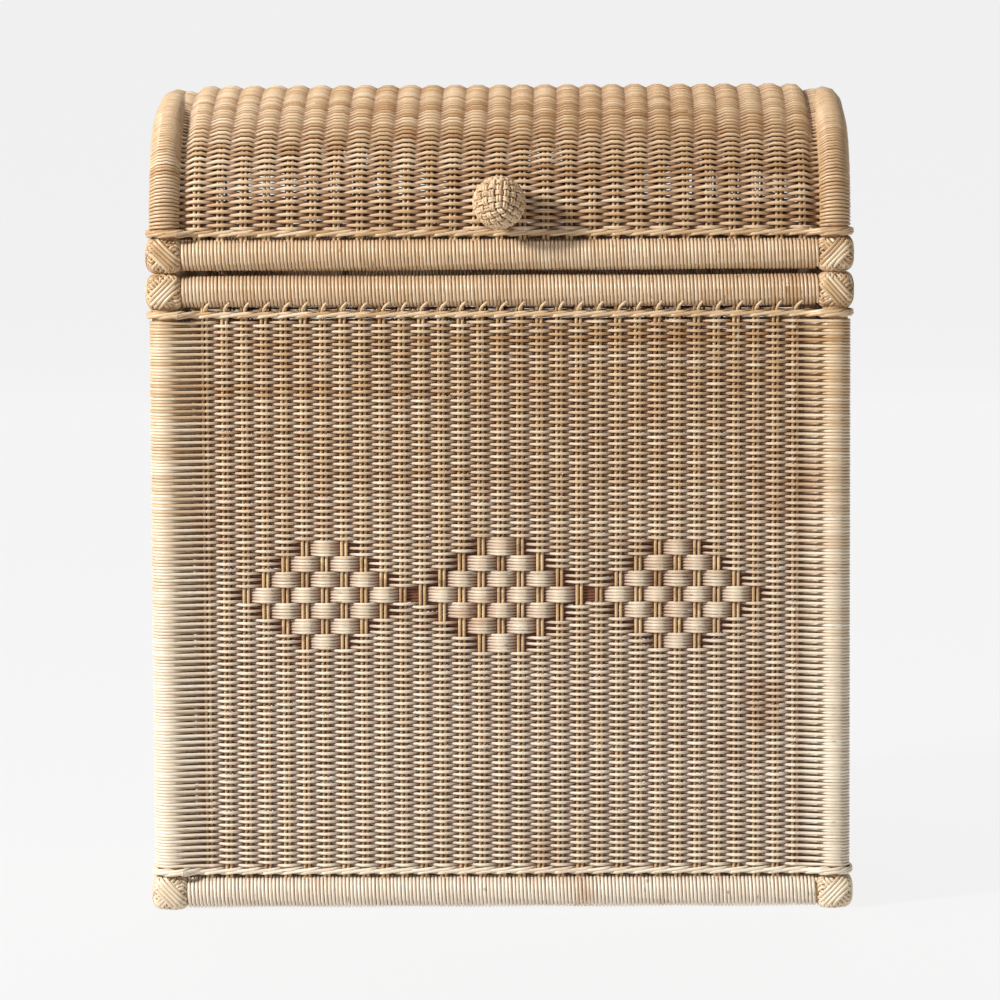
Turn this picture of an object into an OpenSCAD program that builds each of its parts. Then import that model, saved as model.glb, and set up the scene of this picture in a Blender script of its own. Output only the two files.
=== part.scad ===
// Wicker storage trunk with a domed lid, woven on a lashed frame of rattan poles.
// Millimetres. +Z is up and the front faces -Y. The origin is on the floor, under the middle of
// the whole trunk with its knob, so the trunk itself stands mid_y behind it.
// Sides are numbered 0 front, 1 right, 2 back, 3 left; corner i joins side i to side i + 1.

/* [Trunk] */
// Width over the wrapped corner posts
trunk_w = 500; // [380:10:700]
// Depth over the wrapped corner posts
trunk_d = 320; // [260:10:480]
// Height of the body from the floor to the top of its rim
body_h = 455; // [250:5:650]

/* [Lid] */
// Rise of the end arches, from the middle of the lid rail to the middle of the crown
lid_rise = 106; // [70:1:135]
// How much the crown stands above the radius of the arch's shoulders
crown_lift = 10; // [6:1:16]
// How much higher the weave swells at the crown than the end arches
weave_swell = 7; // [0:0.5:10]
// Open line between the body's rim and the lid's rim
lid_gap = 2.5; // [2:0.25:5]

/* [Poles and wrapping] */
// Rattan frame pole
pole_d = 18.5; // [14:0.5:24]
// Round reed that wraps the poles
wrap_d = 2.5; // [1.5:0.25:3.5]
// How far a corner lashing stands proud of the wrapping
binding_proud = 0.5; // [0.2:0.1:0.8]
// How much further a corner lashing runs along each pole than its own round reaches
binding_reach = 0.25; // [0.1:0.05:3]
// How deep the bottom lashings are pressed flat by the floor
floor_flat = 0.4; // [0.2:0.1:0.5]

/* [Weave] */
// Weaving reed
weaver_d = 2.25; // [1.5:0.25:3]
// Upright stake
stake_d = 2.25; // [1.5:0.25:3]
// Distance between the two stakes of a pair
pair_pitch = 3.1; // [3:0.1:5]
// Distance from pair to pair in the walls
wall_pitch = 14; // [11:0.5:20]
// Distance from pair to pair in the lid
lid_pitch = 16.5; // [12:0.5:24]
// Outer face of the trunk to the first pair of a wall
wall_margin = 40; // [34:1:50]
// Outer face of the trunk to the first pair of the lid
lid_margin = 35; // [32:1:50]
// How far the weave lies outside the poles' middle plane
weave_offset = 3; // [0:0.5:4]
// Clearance between a stake and the weave that holds it
stake_clear = 0.05; // [0.02:0.01:0.1]
// Flat sides of a stake where it bends over the lid
bent_sides = 8; // [6:1:12]

/* [Twined bands] */
// Height of a twined band
band_h = 6; // [4.5:0.5:8]
// Thickness of a twined band
band_t = 7.5; // [6.5:0.5:10]
// How far a band stands proud where it rounds a post
band_proud = 1.5; // [0.5:0.25:2.5]
// Open line between the body's top rail and its upper band
band_gap = 3; // [2.75:0.25:5]

/* [Base] */
// Middle of the woven base above the floor
base_z = 17; // [15:0.5:20]
// Distance from pair to pair in the base
base_pitch = 20; // [14:1:30]
// Pole that runs under the base from side to side
bearer_d = 11; // [7:0.5:13]
// Number of poles under the base
bearer_count = 2; // [1:1:4]

/* [Hinge lashings] */
// Width of one lashing
lash_w = 36; // [20:1:60]
// Thickness of the lashing's reed
lash_t = 2.25; // [1.5:0.25:2.5]
// Distance from the middle of the trunk to each lashing
lash_x = 140; // [80:5:165]
// Clearance of the lid rail in the lashing
lash_clear = 0.1; // [0.05:0.01:0.1]

/* [Knob] */
// Diameter over the woven cover
knob_d = 38.5; // [28:0.5:50]
// Thickness of the woven cover
cover_t = 2.5; // [1.5:0.25:4]
// Direction in which the knob points, above the horizontal
knob_tilt = 13; // [8:1:35]
// Reed that ties the knob through the lid
tie_d = 2.5; // [1.5:0.25:3]
// Distance between the two strands of the tie
tie_pitch = 9; // [8:0.5:12]
// Peg that the tie is drawn tight on, inside the lid
toggle_d = 6; // [4:0.5:9]
// Length of that peg
toggle_len = 26; // [18:1:40]

/* [Nails] */
// Shank of a frame nail
nail_d = 2; // [1.5:0.1:2.5]
// Length of a frame nail
nail_len = 34; // [24:1:45]
// Head of a frame nail
nail_head_d = 4.4; // [3.5:0.1:5.5]
// Thickness of the head
nail_head_t = 1; // [0.6:0.1:1.5]

/* [Hidden] */
$fn = 96;

// Poles and corners
pole_r = pole_d / 2;
wrapped_r = pole_r + wrap_d;
binding_r = wrapped_r + binding_proud;
binding_len = binding_r + binding_reach;
half_x = trunk_w / 2 - wrapped_r;
half_y = trunk_d / 2 - wrapped_r;
// A pole's end stops inside the round of its corner lashing
end_margin = 0.3;
pole_end = sqrt(binding_r * binding_r - pole_r * pole_r) - end_margin;

// Heights
bottom_z = binding_r - floor_flat;
top_z = body_h - wrapped_r;
lid_z = body_h + lid_gap + wrapped_r;
lower_band_z = bottom_z + binding_len;
upper_band_z = top_z - wrapped_r - band_gap - band_h;
lid_band_z = lid_z + binding_len;
ring_r = wrapped_r + band_proud;

// Weave
weave_t = stake_d + 2 * weaver_d;
hole_d = stake_d + 2 * stake_clear;
wall_z = lower_band_z + band_h;
wall_h = upper_band_z - wall_z;

// Three-centred arch of the lid on straight feet: two shoulders and a crown that share tangents.
// The arch springs at the foot of the lid's band.
spring_z = lid_band_z;
arch_rise = lid_rise - binding_len;
shoulder_r = arch_rise - crown_lift;
shoulder_y = half_y - shoulder_r;
crown_r = crown_radius(arch_rise);
meet = meet_angle(arch_rise);
// Turn of the arch at which the lid's weave begins, and how far the arch has leaned in by there
lid_weave_turn = asin(band_h / (shoulder_r + weave_offset - weave_t / 2));
lean = band_h * band_h / (2 * shoulder_r);

// Knob, measured outwards from the middle of the front shoulder
knob_seat = shoulder_r + weave_offset + weave_t / 2;
knob_reach = knob_seat + knob_d / 2;
toggle_reach = knob_seat - weave_t - toggle_d / 2;
// Depth of the tie's two holes in the knob's core
tie_depth = 10;

// Open joint between two arcs of the arch
hair = 0.01;
// Clear room left beside a hinge lashing
window_room = 1;
// Where the trunk's middle stands, behind the middle of its whole depth
front_out = shoulder_y + knob_reach * cos(knob_tilt) + knob_d / 2;
back_out = half_y + wrapped_r + lash_clear + lash_t;
mid_y = (front_out - back_out) / 2;

// Colours
POLE = [0.72, 0.54, 0.33];
WRAP = [0.86, 0.74, 0.55];
REED = [0.84, 0.69, 0.48];
STAKE = [0.90, 0.80, 0.62];
CANE = [0.83, 0.70, 0.50];
STEEL = [0.62, 0.62, 0.60];

function side_len(i) = 2 * (i % 2 == 0 ? half_x : half_y);
function side_outer(i) = i % 2 == 0 ? trunk_w : trunk_d;
// Middles of the stake pairs, one of them in the middle, spread evenly at about the given pitch
function pairs(span, pitch) =
    let (n = 2 * max(1, round(span / pitch / 2)))
    [for (k = [0 : n]) -span / 2 + k * span / n];
function wall_pairs(i) = pairs(side_outer(i) - 2 * wall_margin, wall_pitch);
function lid_pairs() = pairs(trunk_w - 2 * lid_margin, lid_pitch);
function lid_side_pairs(i) = i % 2 == 0 ? lid_pairs() : wall_pairs(i);
function base_pairs() = pairs(trunk_w - 2 * wall_margin, base_pitch);
// Radius of the crown of an arch of this rise, and its turn from the top to the shoulder
function crown_radius(rise) =
    (shoulder_y * shoulder_y + rise * rise - shoulder_r * shoulder_r) / (2 * (rise - shoulder_r));
function meet_angle(rise) = atan2(shoulder_y, crown_radius(rise) - rise);
function stake_places(middles) = [for (x = middles, s = [-1, 1]) x + s * pair_pitch / 2];
// Height of the arch, moved out by t, above its springing at distance y from the middle
function arch_height(y, t) =
    abs(y) > (crown_r + t) * sin(meet)
    ? sqrt(max(0, pow(shoulder_r + t, 2) - pow(abs(y) - shoulder_y, 2)))
    : arch_rise - crown_r + sqrt(pow(crown_r + t, 2) - y * y);
// Stakes of the back side that are in the way of a hinge lashing, and the others
function at_lashing(i, x) = i == 2 && abs(abs(x) - lash_x) < lash_w / 2 + window_room + stake_d / 2;
function cut_places(i, middles) = [for (x = stake_places(middles)) if (at_lashing(i, x)) x];
function free_places(i, middles) = [for (x = stake_places(middles)) if (!at_lashing(i, x)) x];
function corner_sx(i) = i < 2 ? 1 : -1;
function corner_sy(i) = i == 1 || i == 2 ? 1 : -1;

module placed() translate([0, mid_y, 0]) children();
// Children drawn with X along a side and -Y outwards are moved to side i
module on_side(i) placed() rotate(90 * i) translate([0, i % 2 == 0 ? -half_y : -half_x, 0]) children();
module at_corner(i) placed() translate([corner_sx(i) * half_x, corner_sy(i) * half_y, 0]) children();
// A rod along a side, on the poles' middle lines
module side_rod(i, r, len, z) on_side(i) translate([0, 0, z]) rotate([0, 90, 0])
    cylinder(r = r, h = len, center = true);
// Upright rods at the stakes' places along side i
module stake_rods(i, places, d, from, to) on_side(i) for (x = places) translate([x, -weave_offset, from])
    cylinder(d = d, h = to - from);
// Sweeps a flat section along the lid's arch: its X is measured outwards, its Y runs along the
// trunk's X. The sweep can leave out the first turn at the front and at the back, and swell.
module along_arch(front_turn = 0, back_turn = 0, swell = 0) placed() {
    rise = arch_rise + swell;
    r = crown_radius(rise);
    m = meet_angle(rise);
    sweep_arc(shoulder_y, spring_z, shoulder_r, back_turn, 90 - m) children();
    sweep_arc(0, spring_z + rise - r, r, 90 - m, 90 + m) children();
    sweep_arc(-shoulder_y, spring_z, shoulder_r, 90 + m, 180 - front_turn) children();
}
// One arc, a hair short at both ends, so that it only touches its neighbours
module sweep_arc(y, z, r, from, to) {
    short = hair / r * 180 / PI;
    translate([0, y, z]) rotate([90, 0, 90])
        rotate_extrude(angle = to - from - 2 * short, start = from + short) translate([r, 0]) children();
}
// Everything above a height
module above(z) translate([-trunk_w, -trunk_d, z]) cube([2 * trunk_w, 2 * trunk_d, 2 * body_h]);
// Inside of the arch above its springing as a flat shape, moved out by t
module arch_area(t) {
    for (side = [-1, 1]) translate([side * shoulder_y, 0]) circle(r = shoulder_r + t);
    translate([0, arch_rise - crown_r]) intersection() {
        circle(r = crown_r + t);
        polygon([[0, 0], [crown_r * tan(meet), crown_r] * 2, [-crown_r * tan(meet), crown_r] * 2]);
    }
}

// Nails: one into the front or back rail, one into the side rail, above and below the middle
module nails_at(i, z, cut) at_corner(i) for (way = [0, 1])
    translate([0, 0, z + (way == 0 ? 1.3 : -1.3) * nail_d])
        rotate(way == 0 ? (corner_sx(i) > 0 ? 0 : 180) : 90 * corner_sy(i)) nail(cut);
// A nail that points to -X, its head sunk in the pole's far side
module nail(cut) {
    sunk = 0.6;
    head = cut ? nail_head_t + binding_r : nail_head_t;
    translate([pole_r - sunk - nail_len, 0, 0]) rotate([0, 90, 0]) cylinder(d = nail_d, h = nail_len);
    translate([pole_r - sunk - nail_head_t, 0, 0]) rotate([0, 90, 0]) cylinder(d = nail_head_d, h = head);
}

module trunk_nails() color(STEEL) for (i = [0 : 3], z = [bottom_z, top_z]) nails_at(i, z, false);
module lid_nails() color(STEEL) for (i = [0 : 3]) nails_at(i, lid_z, false);

module post(i) color(POLE) difference() {
    at_corner(i) translate([0, 0, bottom_z - pole_end])
        cylinder(r = pole_r, h = top_z - bottom_z + 2 * pole_end);
    nails_at(i, top_z, true);
    nails_at(i, bottom_z, true);
}
module post_wrap(i) color(WRAP) at_corner(i) translate([0, 0, wall_z]) difference() {
    cylinder(r = wrapped_r, h = wall_h);
    translate([0, 0, -1]) cylinder(r = pole_r, h = wall_h + 2);
}
// A rail, coped to the uprights at its ends; the side rails are coped to the front and back ones too
module rail(i, z) color(POLE) difference() {
    side_rod(i, pole_r, side_len(i), z);
    for (c = [0 : 3]) at_corner(c) translate([0, 0, z - pole_d]) cylinder(r = pole_r, h = 2 * pole_d);
    if (i % 2 == 1) for (j = [0, 2]) side_rod(j, pole_r, side_len(j), z);
    for (c = [0 : 3]) nails_at(c, z, true);
}
// Wrapping of a rail, with a hole for each stake that is tucked into it
module rail_wrap(i, z) difference() {
    side_rod(i, wrapped_r, side_len(i) - 2 * binding_len, z);
    side_rod(i, pole_r, side_len(i), z);
    children();
}
module top_rail_wraps() color(WRAP) for (i = [0 : 3]) rail_wrap(i, top_z)
    stake_rods(i, free_places(i, wall_pairs(i)), hole_d, top_z - 2 * wrapped_r, top_z - pole_r);
module bottom_rail_wraps() color(WRAP) for (i = [0 : 3]) rail_wrap(i, bottom_z) {
    stake_rods(i, stake_places(wall_pairs(i)), hole_d, bottom_z + pole_r, wall_z);
    if (i % 2 == 0) base_rods(hole_d);
}
module lid_rail_wraps() color(WRAP) for (i = [0 : 3]) rail_wrap(i, lid_z)
    stake_rods(i, free_places(i, lid_side_pairs(i)), hole_d, lid_z + pole_r, spring_z + pole_r);
// Corner lashings: a rounded knuckle over three pole ends; up is 1 where the upright rises, -1 where it drops
module knuckle(i, z, up) at_corner(i) translate([0, 0, z]) difference() {
    knuckle_body(i, up, binding_r, binding_len);
    knuckle_body(i, up, pole_r, 2 * binding_len, pole_end);
}
module knuckle_body(i, up, r, len, back = 0) {
    if (back == 0) sphere(r = r);
    rotate([0, -90 * corner_sx(i), 0]) cylinder(r = r, h = len);
    rotate([90 * corner_sy(i), 0, 0]) cylinder(r = r, h = len);
    rotate([up > 0 ? 0 : 180, 0, 0]) translate([0, 0, -back]) cylinder(r = r, h = len + back);
}
module lashings(z, up) color(CANE) for (i = [0 : 3]) knuckle(i, z, up);
module bottom_lashings() color(CANE) intersection() {
    lashings(bottom_z, 1);
    above(0);
}

// Flat section of woven reed, with a hole for each stake; its length runs along X
module woven_section(len, t, middles, sides = $fn) difference() {
    square([len, t], center = true);
    for (x = stake_places(middles)) translate([x, 0]) circle(d = hole_d, $fn = sides);
}
module weave(i) color(REED) on_side(i) translate([0, -weave_offset, wall_z])
    linear_extrude(wall_h) woven_section(side_len(i) - 2 * wrapped_r, weave_t, wall_pairs(i));
module stakes(i) color(STAKE) {
    stake_rods(i, free_places(i, wall_pairs(i)), stake_d, bottom_z + pole_r, top_z - pole_r);
    stake_rods(i, cut_places(i, wall_pairs(i)), stake_d, bottom_z + pole_r, upper_band_z + band_h);
}
// Twined band: bars along the sides and rings round the posts
module band(z, slack) color(REED) translate([0, 0, z]) linear_extrude(band_h) difference() {
    union() {
        for (i = [0 : 3]) on_side(i) translate([0, -weave_offset])
            square([side_len(i), band_t], center = true);
        for (i = [0 : 3]) at_corner(i) circle(r = ring_r);
    }
    for (i = [0 : 3]) at_corner(i) circle(r = pole_r + slack);
    children();
}
module band_holes(i, middles, slack) on_side(i) for (x = stake_places(middles))
    translate([x, -weave_offset]) circle(d = hole_d + 2 * slack);
module wall_band(z) band(z, 0) for (i = [0 : 3]) band_holes(i, wall_pairs(i), 0);

// Base: a woven mat between the bottom rails, on poles that run from side to side
module base_rods(d) placed() for (x = stake_places(base_pairs())) translate([x, 0, base_z])
    rotate([90, 0, 0]) cylinder(d = d, h = 2 * (half_y - pole_r), center = true);
module base_weave() color(REED) difference() {
    placed() translate([0, half_y, base_z]) rotate([90, 0, 0]) linear_extrude(2 * half_y)
        woven_section(2 * half_x, weave_t, base_pairs());
    for (i = [0 : 3]) side_rod(i, binding_r, side_len(i) + pole_d, bottom_z);
    for (i = [0 : 3]) at_corner(i) cylinder(r = binding_r, h = top_z);
}
module base_bearers() color(POLE) difference() {
    for (k = [1 : bearer_count]) placed() translate([0, -half_y + k * 2 * half_y / (bearer_count + 1),
        base_z - weave_t / 2 - bearer_d / 2]) rotate([0, 90, 0])
            cylinder(d = bearer_d, h = 2 * half_x, center = true);
    for (i = [1, 3]) side_rod(i, wrapped_r, side_len(i), bottom_z);
}

// Hinge lashing: a tight loop of reed round both back rails; the lid's rail turns in its upper eye
module hinge_lashing(s) color(CANE) placed() translate([s * lash_x, half_y, 0]) rotate([0, 90, 0])
    linear_extrude(lash_w, center = true) difference() {
        loop_area(wrapped_r + lash_t);
        loop_area(wrapped_r);
    }
// Flat shape of the loop; X runs downwards here
module loop_area(r) {
    translate([-top_z, 0]) circle(r = r);
    translate([-lid_z, 0]) circle(r = r + lash_clear);
    translate([-lid_z, -r - lash_clear]) square([lid_z - top_z, 2 * (r + lash_clear)]);
}

// Lid frame
module lid_arch(s) color(POLE) difference() {
    union() {
        translate([s * half_x, 0, 0]) along_arch() circle(r = pole_r);
        for (i = s > 0 ? [0, 1] : [2, 3]) at_corner(i) translate([0, 0, lid_z - pole_end])
            cylinder(r = pole_r, h = spring_z - lid_z + pole_end);
    }
    for (i = [0 : 3]) nails_at(i, lid_z, true);
}
module lid_arch_wrap(s) color(WRAP) difference() {
    intersection() {
        translate([s * half_x, 0, 0]) along_arch() difference() {
            circle(r = wrapped_r);
            circle(r = pole_r);
        }
        above(lid_band_z + band_h);
    }
    lid_end_rods(s, hole_d);
}

// Lid weave
module lid_top_weave() color(REED) difference() {
    along_arch(lid_weave_turn, lid_weave_turn, weave_swell) translate([weave_offset, 0]) rotate(90)
        woven_section(2 * (half_x - wrapped_r), weave_t, lid_pairs(), bent_sides);
    knob_frame() tie_strands(shoulder_r - weave_t, 3 * weave_t);
}
module lid_top_stakes() color(STAKE) {
    for (x = free_places(2, lid_pairs())) along_arch(0, 0, weave_swell) bent_stake(x);
    for (x = cut_places(2, lid_pairs())) along_arch(0, lid_weave_turn, weave_swell) bent_stake(x);
    for (i = [0, 2]) stake_rods(i, free_places(i, lid_pairs()), stake_d, lid_z + pole_r, spring_z);
}
module bent_stake(x) translate([weave_offset, x]) circle(d = stake_d, $fn = bent_sides);
module lid_end_rods(s, d) for (y = stake_places(wall_pairs(1)))
    placed() translate([s * (half_x + weave_offset), y, lid_z + pole_r])
        cylinder(d = d, h = spring_z + arch_height(y, -pole_r) - lid_z - pole_r);
module lid_end_weave(s) color(REED) intersection() {
    placed() translate([s * (half_x + weave_offset), 0, spring_z]) rotate([90, 0, 90])
        linear_extrude(2 * weave_t, center = true) arch_area(-wrapped_r);
    on_side(s > 0 ? 1 : 3) translate([0, -weave_offset, lid_band_z + band_h])
        linear_extrude(lid_rise) woven_section(2 * half_y, weave_t, wall_pairs(1));
}
module lid_band() difference() {
    band(lid_band_z, lean) for (i = [0 : 3]) band_holes(i, lid_side_pairs(i), lean);
    for (s = [-1, 1]) placed() translate([s * lash_x - lash_w / 2 - window_room, 0, lid_band_z - 1])
        cube([lash_w + 2 * window_room, trunk_d, band_h + 2]);
}

// Knob. Its frame's +Z points out of the lid, from the middle of the front shoulder
module knob_frame() placed() translate([0, -shoulder_y, spring_z]) rotate([90 - knob_tilt, 0, 0]) children();
module tie_strands(from, len) for (s = [-1, 1]) translate([s * tie_pitch / 2, 0, from])
    cylinder(d = tie_d, h = len);
module ball(d) translate([0, 0, knob_reach]) rotate([0, -90, 0]) sphere(d = d);
module knob_core() color(POLE) knob_frame() difference() {
    ball(knob_d - 2 * cover_t);
    tie_strands(knob_reach - knob_d, knob_d / 2 + tie_depth);
}
module knob_cover() color(CANE) knob_frame() difference() {
    ball(knob_d);
    ball(knob_d - 2 * cover_t);
    tie_strands(knob_reach - knob_d, knob_d);
}
module knob_tie() color(CANE) knob_frame() difference() {
    tie_strands(toggle_reach, knob_reach - knob_d / 2 + tie_depth - toggle_reach);
    translate([0, 0, toggle_reach]) rotate([0, 90, 0]) cylinder(d = toggle_d, h = toggle_len, center = true);
}
module knob_toggle() color(POLE) knob_frame() translate([0, 0, toggle_reach]) rotate([0, 90, 0])
    cylinder(d = toggle_d, h = toggle_len, center = true);

post(0);  // post_front_right
post(1);  // post_back_right
post(2);  // post_back_left
post(3);  // post_front_left
post_wrap(0);  // post_wrap_front_right
post_wrap(1);  // post_wrap_back_right
post_wrap(2);  // post_wrap_back_left
post_wrap(3);  // post_wrap_front_left
rail(0, top_z);  // top_rail_front
rail(1, top_z);  // top_rail_right
rail(2, top_z);  // top_rail_back
rail(3, top_z);  // top_rail_left
rail(0, bottom_z);  // bottom_rail_front
rail(1, bottom_z);  // bottom_rail_right
rail(2, bottom_z);  // bottom_rail_back
rail(3, bottom_z);  // bottom_rail_left
top_rail_wraps();
bottom_rail_wraps();
lashings(top_z, -1);  // top_corner_lashings
bottom_lashings();  // bottom_corner_lashings
weave(0);  // weave_front
weave(1);  // weave_right
weave(2);  // weave_back
weave(3);  // weave_left
stakes(0);  // stakes_front
stakes(1);  // stakes_right
stakes(2);  // stakes_back
stakes(3);  // stakes_left
wall_band(upper_band_z);  // upper_band
wall_band(lower_band_z);  // lower_band
base_weave();
color(STAKE) base_rods(stake_d);  // base_stakes
base_bearers();
trunk_nails();
hinge_lashing(-1);  // hinge_lashing_left
hinge_lashing(1);  // hinge_lashing_right
rail(0, lid_z);  // lid_rail_front
rail(1, lid_z);  // lid_rail_right
rail(2, lid_z);  // lid_rail_back
rail(3, lid_z);  // lid_rail_left
lid_rail_wraps();
lid_arch(-1);  // lid_arch_left
lid_arch(1);  // lid_arch_right
lid_arch_wrap(-1);  // lid_arch_wrap_left
lid_arch_wrap(1);  // lid_arch_wrap_right
lashings(lid_z, 1);  // lid_corner_lashings
lid_top_weave();
lid_top_stakes();
lid_end_weave(-1);  // lid_end_weave_left
lid_end_weave(1);  // lid_end_weave_right
color(STAKE) lid_end_rods(-1, stake_d);  // lid_end_stakes_left
color(STAKE) lid_end_rods(1, stake_d);  // lid_end_stakes_right
lid_band();
lid_nails();
knob_core();
knob_cover();
knob_tie();
knob_toggle();
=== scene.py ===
# %% [markdown]
# # A wicker storage trunk
#
# This notebook dresses the frame of a domed wicker trunk: reed woven round paired stakes,
# poles wrapped in reed, lashed corners, twined bands and a ball knob. The frame gives every
# size and place, so each piece starts from the box of the part that it stands for.

# %% The frame
import math
import random

import bmesh
import bpy
import numpy as np
from mathutils import Matrix, Vector


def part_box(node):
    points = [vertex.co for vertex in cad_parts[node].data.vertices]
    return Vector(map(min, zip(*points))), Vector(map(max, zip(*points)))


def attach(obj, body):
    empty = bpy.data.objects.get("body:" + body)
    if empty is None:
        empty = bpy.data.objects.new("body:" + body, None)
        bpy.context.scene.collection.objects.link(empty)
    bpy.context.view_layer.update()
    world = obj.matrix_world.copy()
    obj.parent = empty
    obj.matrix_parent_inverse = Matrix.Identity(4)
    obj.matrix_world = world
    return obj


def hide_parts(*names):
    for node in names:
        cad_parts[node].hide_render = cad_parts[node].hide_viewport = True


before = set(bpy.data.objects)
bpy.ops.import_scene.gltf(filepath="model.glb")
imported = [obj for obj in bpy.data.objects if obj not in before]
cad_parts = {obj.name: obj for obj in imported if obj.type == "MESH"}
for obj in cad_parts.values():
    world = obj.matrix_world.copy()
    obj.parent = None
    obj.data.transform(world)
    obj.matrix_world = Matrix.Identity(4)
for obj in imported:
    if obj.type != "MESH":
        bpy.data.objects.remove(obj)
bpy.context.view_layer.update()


# %% [markdown]
# ## Sizes that everything shares
#
# A basket maker works from the poles: their middle lines fix the corners, and the reed's
# thickness fixes the height of a row. The same few lengths are read here from the frame.


# %% Sizes read from the frame
def middle(node):
    low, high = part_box(node)
    return (low + high) / 2


def size(node):
    low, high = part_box(node)
    return high - low


corner = middle("post_front_right")
HALF_X = corner.x
FRONT, BACK = corner.y, middle("post_back_right").y
MID_Y, HALF_Y = (FRONT + BACK) / 2, (BACK - FRONT) / 2
POLE_R = size("post_front_right").x / 2
STAKE_R = size("stakes_left").x / 2
BOTTOM_Z, TOP_Z, LID_Z = (middle(n).z for n in ("bottom_rail_front", "top_rail_front", "lid_rail_front"))
WALL_LOW, WALL_HIGH = (c.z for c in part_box("weave_front"))
print(f"posts at x = {HALF_X:.4f}, y = {FRONT:.4f} and {BACK:.4f}")
print(f"rails at {BOTTOM_Z:.4f}, {TOP_Z:.4f}, {LID_Z:.4f}")

# %% Sizes of the basket work
PAIR = 0.0031  # between the two stakes of a pair
LIFT = 0.003  # the weave stands this far outside the poles' middle plane
REED_R = 0.001125  # weaving reed
WRAP_R = 0.00125  # reed that wraps the rails
SWING = 1.1 * (STAKE_R + REED_R)  # how far a reed swings to each side of the stakes
GAPS = {"wall": 30, "side": 18, "lid": 26, "base": 22}  # spaces between pairs of stakes
SPAN = {
    "wall": size("stakes_front").x / 2 - STAKE_R - PAIR / 2,
    "side": size("stakes_left").y / 2 - STAKE_R - PAIR / 2,
    "lid": size("lid_top_stakes").x / 2 - STAKE_R - PAIR / 2,
    "base": size("base_stakes").x / 2 - STAKE_R - PAIR / 2,
}
print("half spans of the stakes:", {k: round(v, 4) for k, v in SPAN.items()})


# %% [markdown]
# ## Writing a node tree as formulas
#
# Weaving follows rules, so Geometry Nodes make it, and the colours are nodes too. A tree of
# many small math nodes is easier to read as a formula: here a Value stands for one output of a
# node, and + - * / % < > on it add the node that does the sum.


# %% A Value is a node's output that can be calculated with
class Value:
    def __init__(self, tree, socket):
        self.tree, self.socket = tree, socket

    def other(self, label):
        """Another output of the same node."""
        return Value(self.tree, self.socket.node.outputs[label])

    def __add__(self, other):
        return self.tree.math("ADD", self, other)

    def __sub__(self, other):
        return self.tree.math("SUBTRACT", self, other)

    def __rsub__(self, other):
        return self.tree.math("SUBTRACT", other, self)

    def __mul__(self, other):
        return self.tree.math("MULTIPLY", self, other)

    def __truediv__(self, other):
        return self.tree.math("DIVIDE", self, other)

    def __mod__(self, other):
        return self.tree.math("FLOORED_MODULO", self, other)

    def __lt__(self, other):
        return self.tree.math("LESS_THAN", self, other)

    def __gt__(self, other):
        return self.tree.math("GREATER_THAN", self, other)


# %% A Formula adds nodes to a tree, for shapes and for colours
def is_vector(value):
    return isinstance(value, Value) and value.socket.type == "VECTOR"


class Formula:
    def __init__(self, tree):
        self.tree = tree

    def node(self, kind, *values, out=0, **settings):
        node = self.tree.nodes.new(kind)
        for name, value in settings.items():
            setattr(node, name, value)
        for socket, value in zip([s for s in node.inputs if s.enabled], values):
            self.plug(value, socket)
        return Value(self, [s for s in node.outputs if s.enabled][out])

    def plug(self, value, socket):
        if isinstance(value, Value):
            self.tree.links.new(value.socket, socket)
        elif value is not None:
            socket.default_value = value

    def math(self, operation, *values):
        vectors = [is_vector(value) for value in values]
        if not any(vectors):
            return self.node("ShaderNodeMath", *values, operation=operation)
        if operation == "MULTIPLY" and not all(vectors):
            vector, scale = values if vectors[0] else values[::-1]
            return self.node("ShaderNodeVectorMath", vector, scale, operation="SCALE")
        return self.node("ShaderNodeVectorMath", *values, operation=operation)

    def xyz(self, x, y, z):
        return self.node("ShaderNodeCombineXYZ", x, y, z)

    def mix(self, factor, a, b):
        return self.node("ShaderNodeMix", factor, a, b, data_type="VECTOR" if is_vector(a) else "FLOAT")

    def smooth(self, value, low, high):
        """0 at low, 1 at high, and a soft curve between them."""
        return self.node("ShaderNodeMapRange", value, low, high, interpolation_type="SMOOTHSTEP")

    def noise(self, place, scale, detail=1.0):
        return self.node("ShaderNodeTexNoise", place, scale, detail)


# %% A Tree is a Formula for shapes, with named inputs
KINDS = {float: "NodeSocketFloat", int: "NodeSocketInt", tuple: "NodeSocketVector"}


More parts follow.
